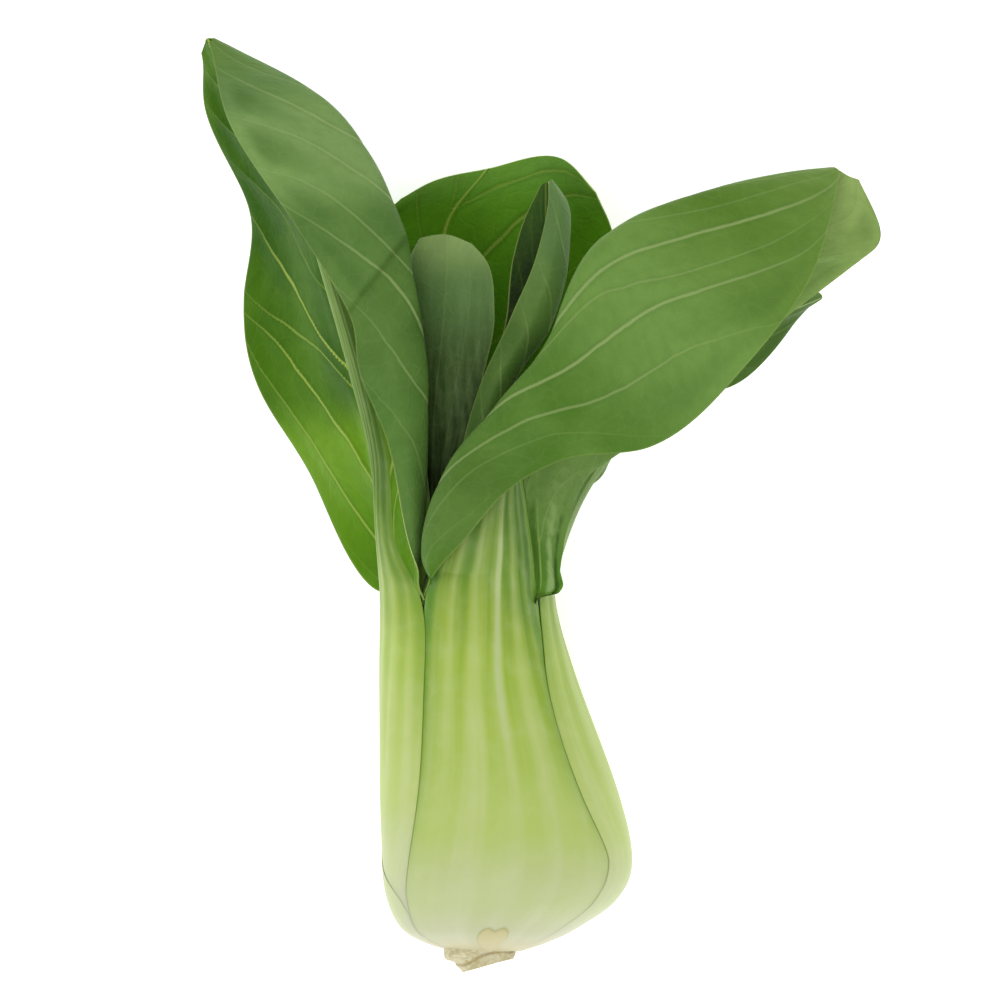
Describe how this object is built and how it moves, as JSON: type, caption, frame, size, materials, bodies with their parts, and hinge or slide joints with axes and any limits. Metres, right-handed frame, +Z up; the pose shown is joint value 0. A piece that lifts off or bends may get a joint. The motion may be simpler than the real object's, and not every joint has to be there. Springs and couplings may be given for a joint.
{
  "type": "bok choy",
  "caption": "A whole head of bok choy lying on its side: pale nested stalks on a cut stem base, opening into folded green leaf blades.",
  "frame": {"origin": "middle of the model's box, on the surface that it lies on", "axes": "+Y from the cut stem base towards the leaf tips, +Z up from the surface, +X to the right seen from above"},
  "size_m": [0.1649, 0.2257, 0.0629],
  "materials": {
    "pale_stalk": "smooth, slightly waxy plant skin",
    "green_blade": "waxy leaf with a soft sheen",
    "cut_stem": "dry cut plant tissue"
  },
  "bodies": {
    "root": {"stem_base": "cut_stem", "back_leaf_stalk": "pale_stalk", "back_leaf_blade": "green_blade", "left_leaf_stalk": "pale_stalk", "left_leaf_blade": "green_blade", "right_leaf_stalk": "pale_stalk", "right_leaf_blade": "green_blade", "front_leaf_stalk": "pale_stalk", "front_leaf_blade": "green_blade", "hooded_leaf_stalk": "pale_stalk", "hooded_leaf_blade": "green_blade", "slim_leaf_stalk": "pale_stalk", "slim_leaf_blade": "green_blade", "heart_leaf_1_stalk": "pale_stalk", "heart_leaf_1_blade": "green_blade", "heart_leaf_2_stalk": "pale_stalk", "heart_leaf_2_blade": "green_blade"}
  },
  "joints": []
}
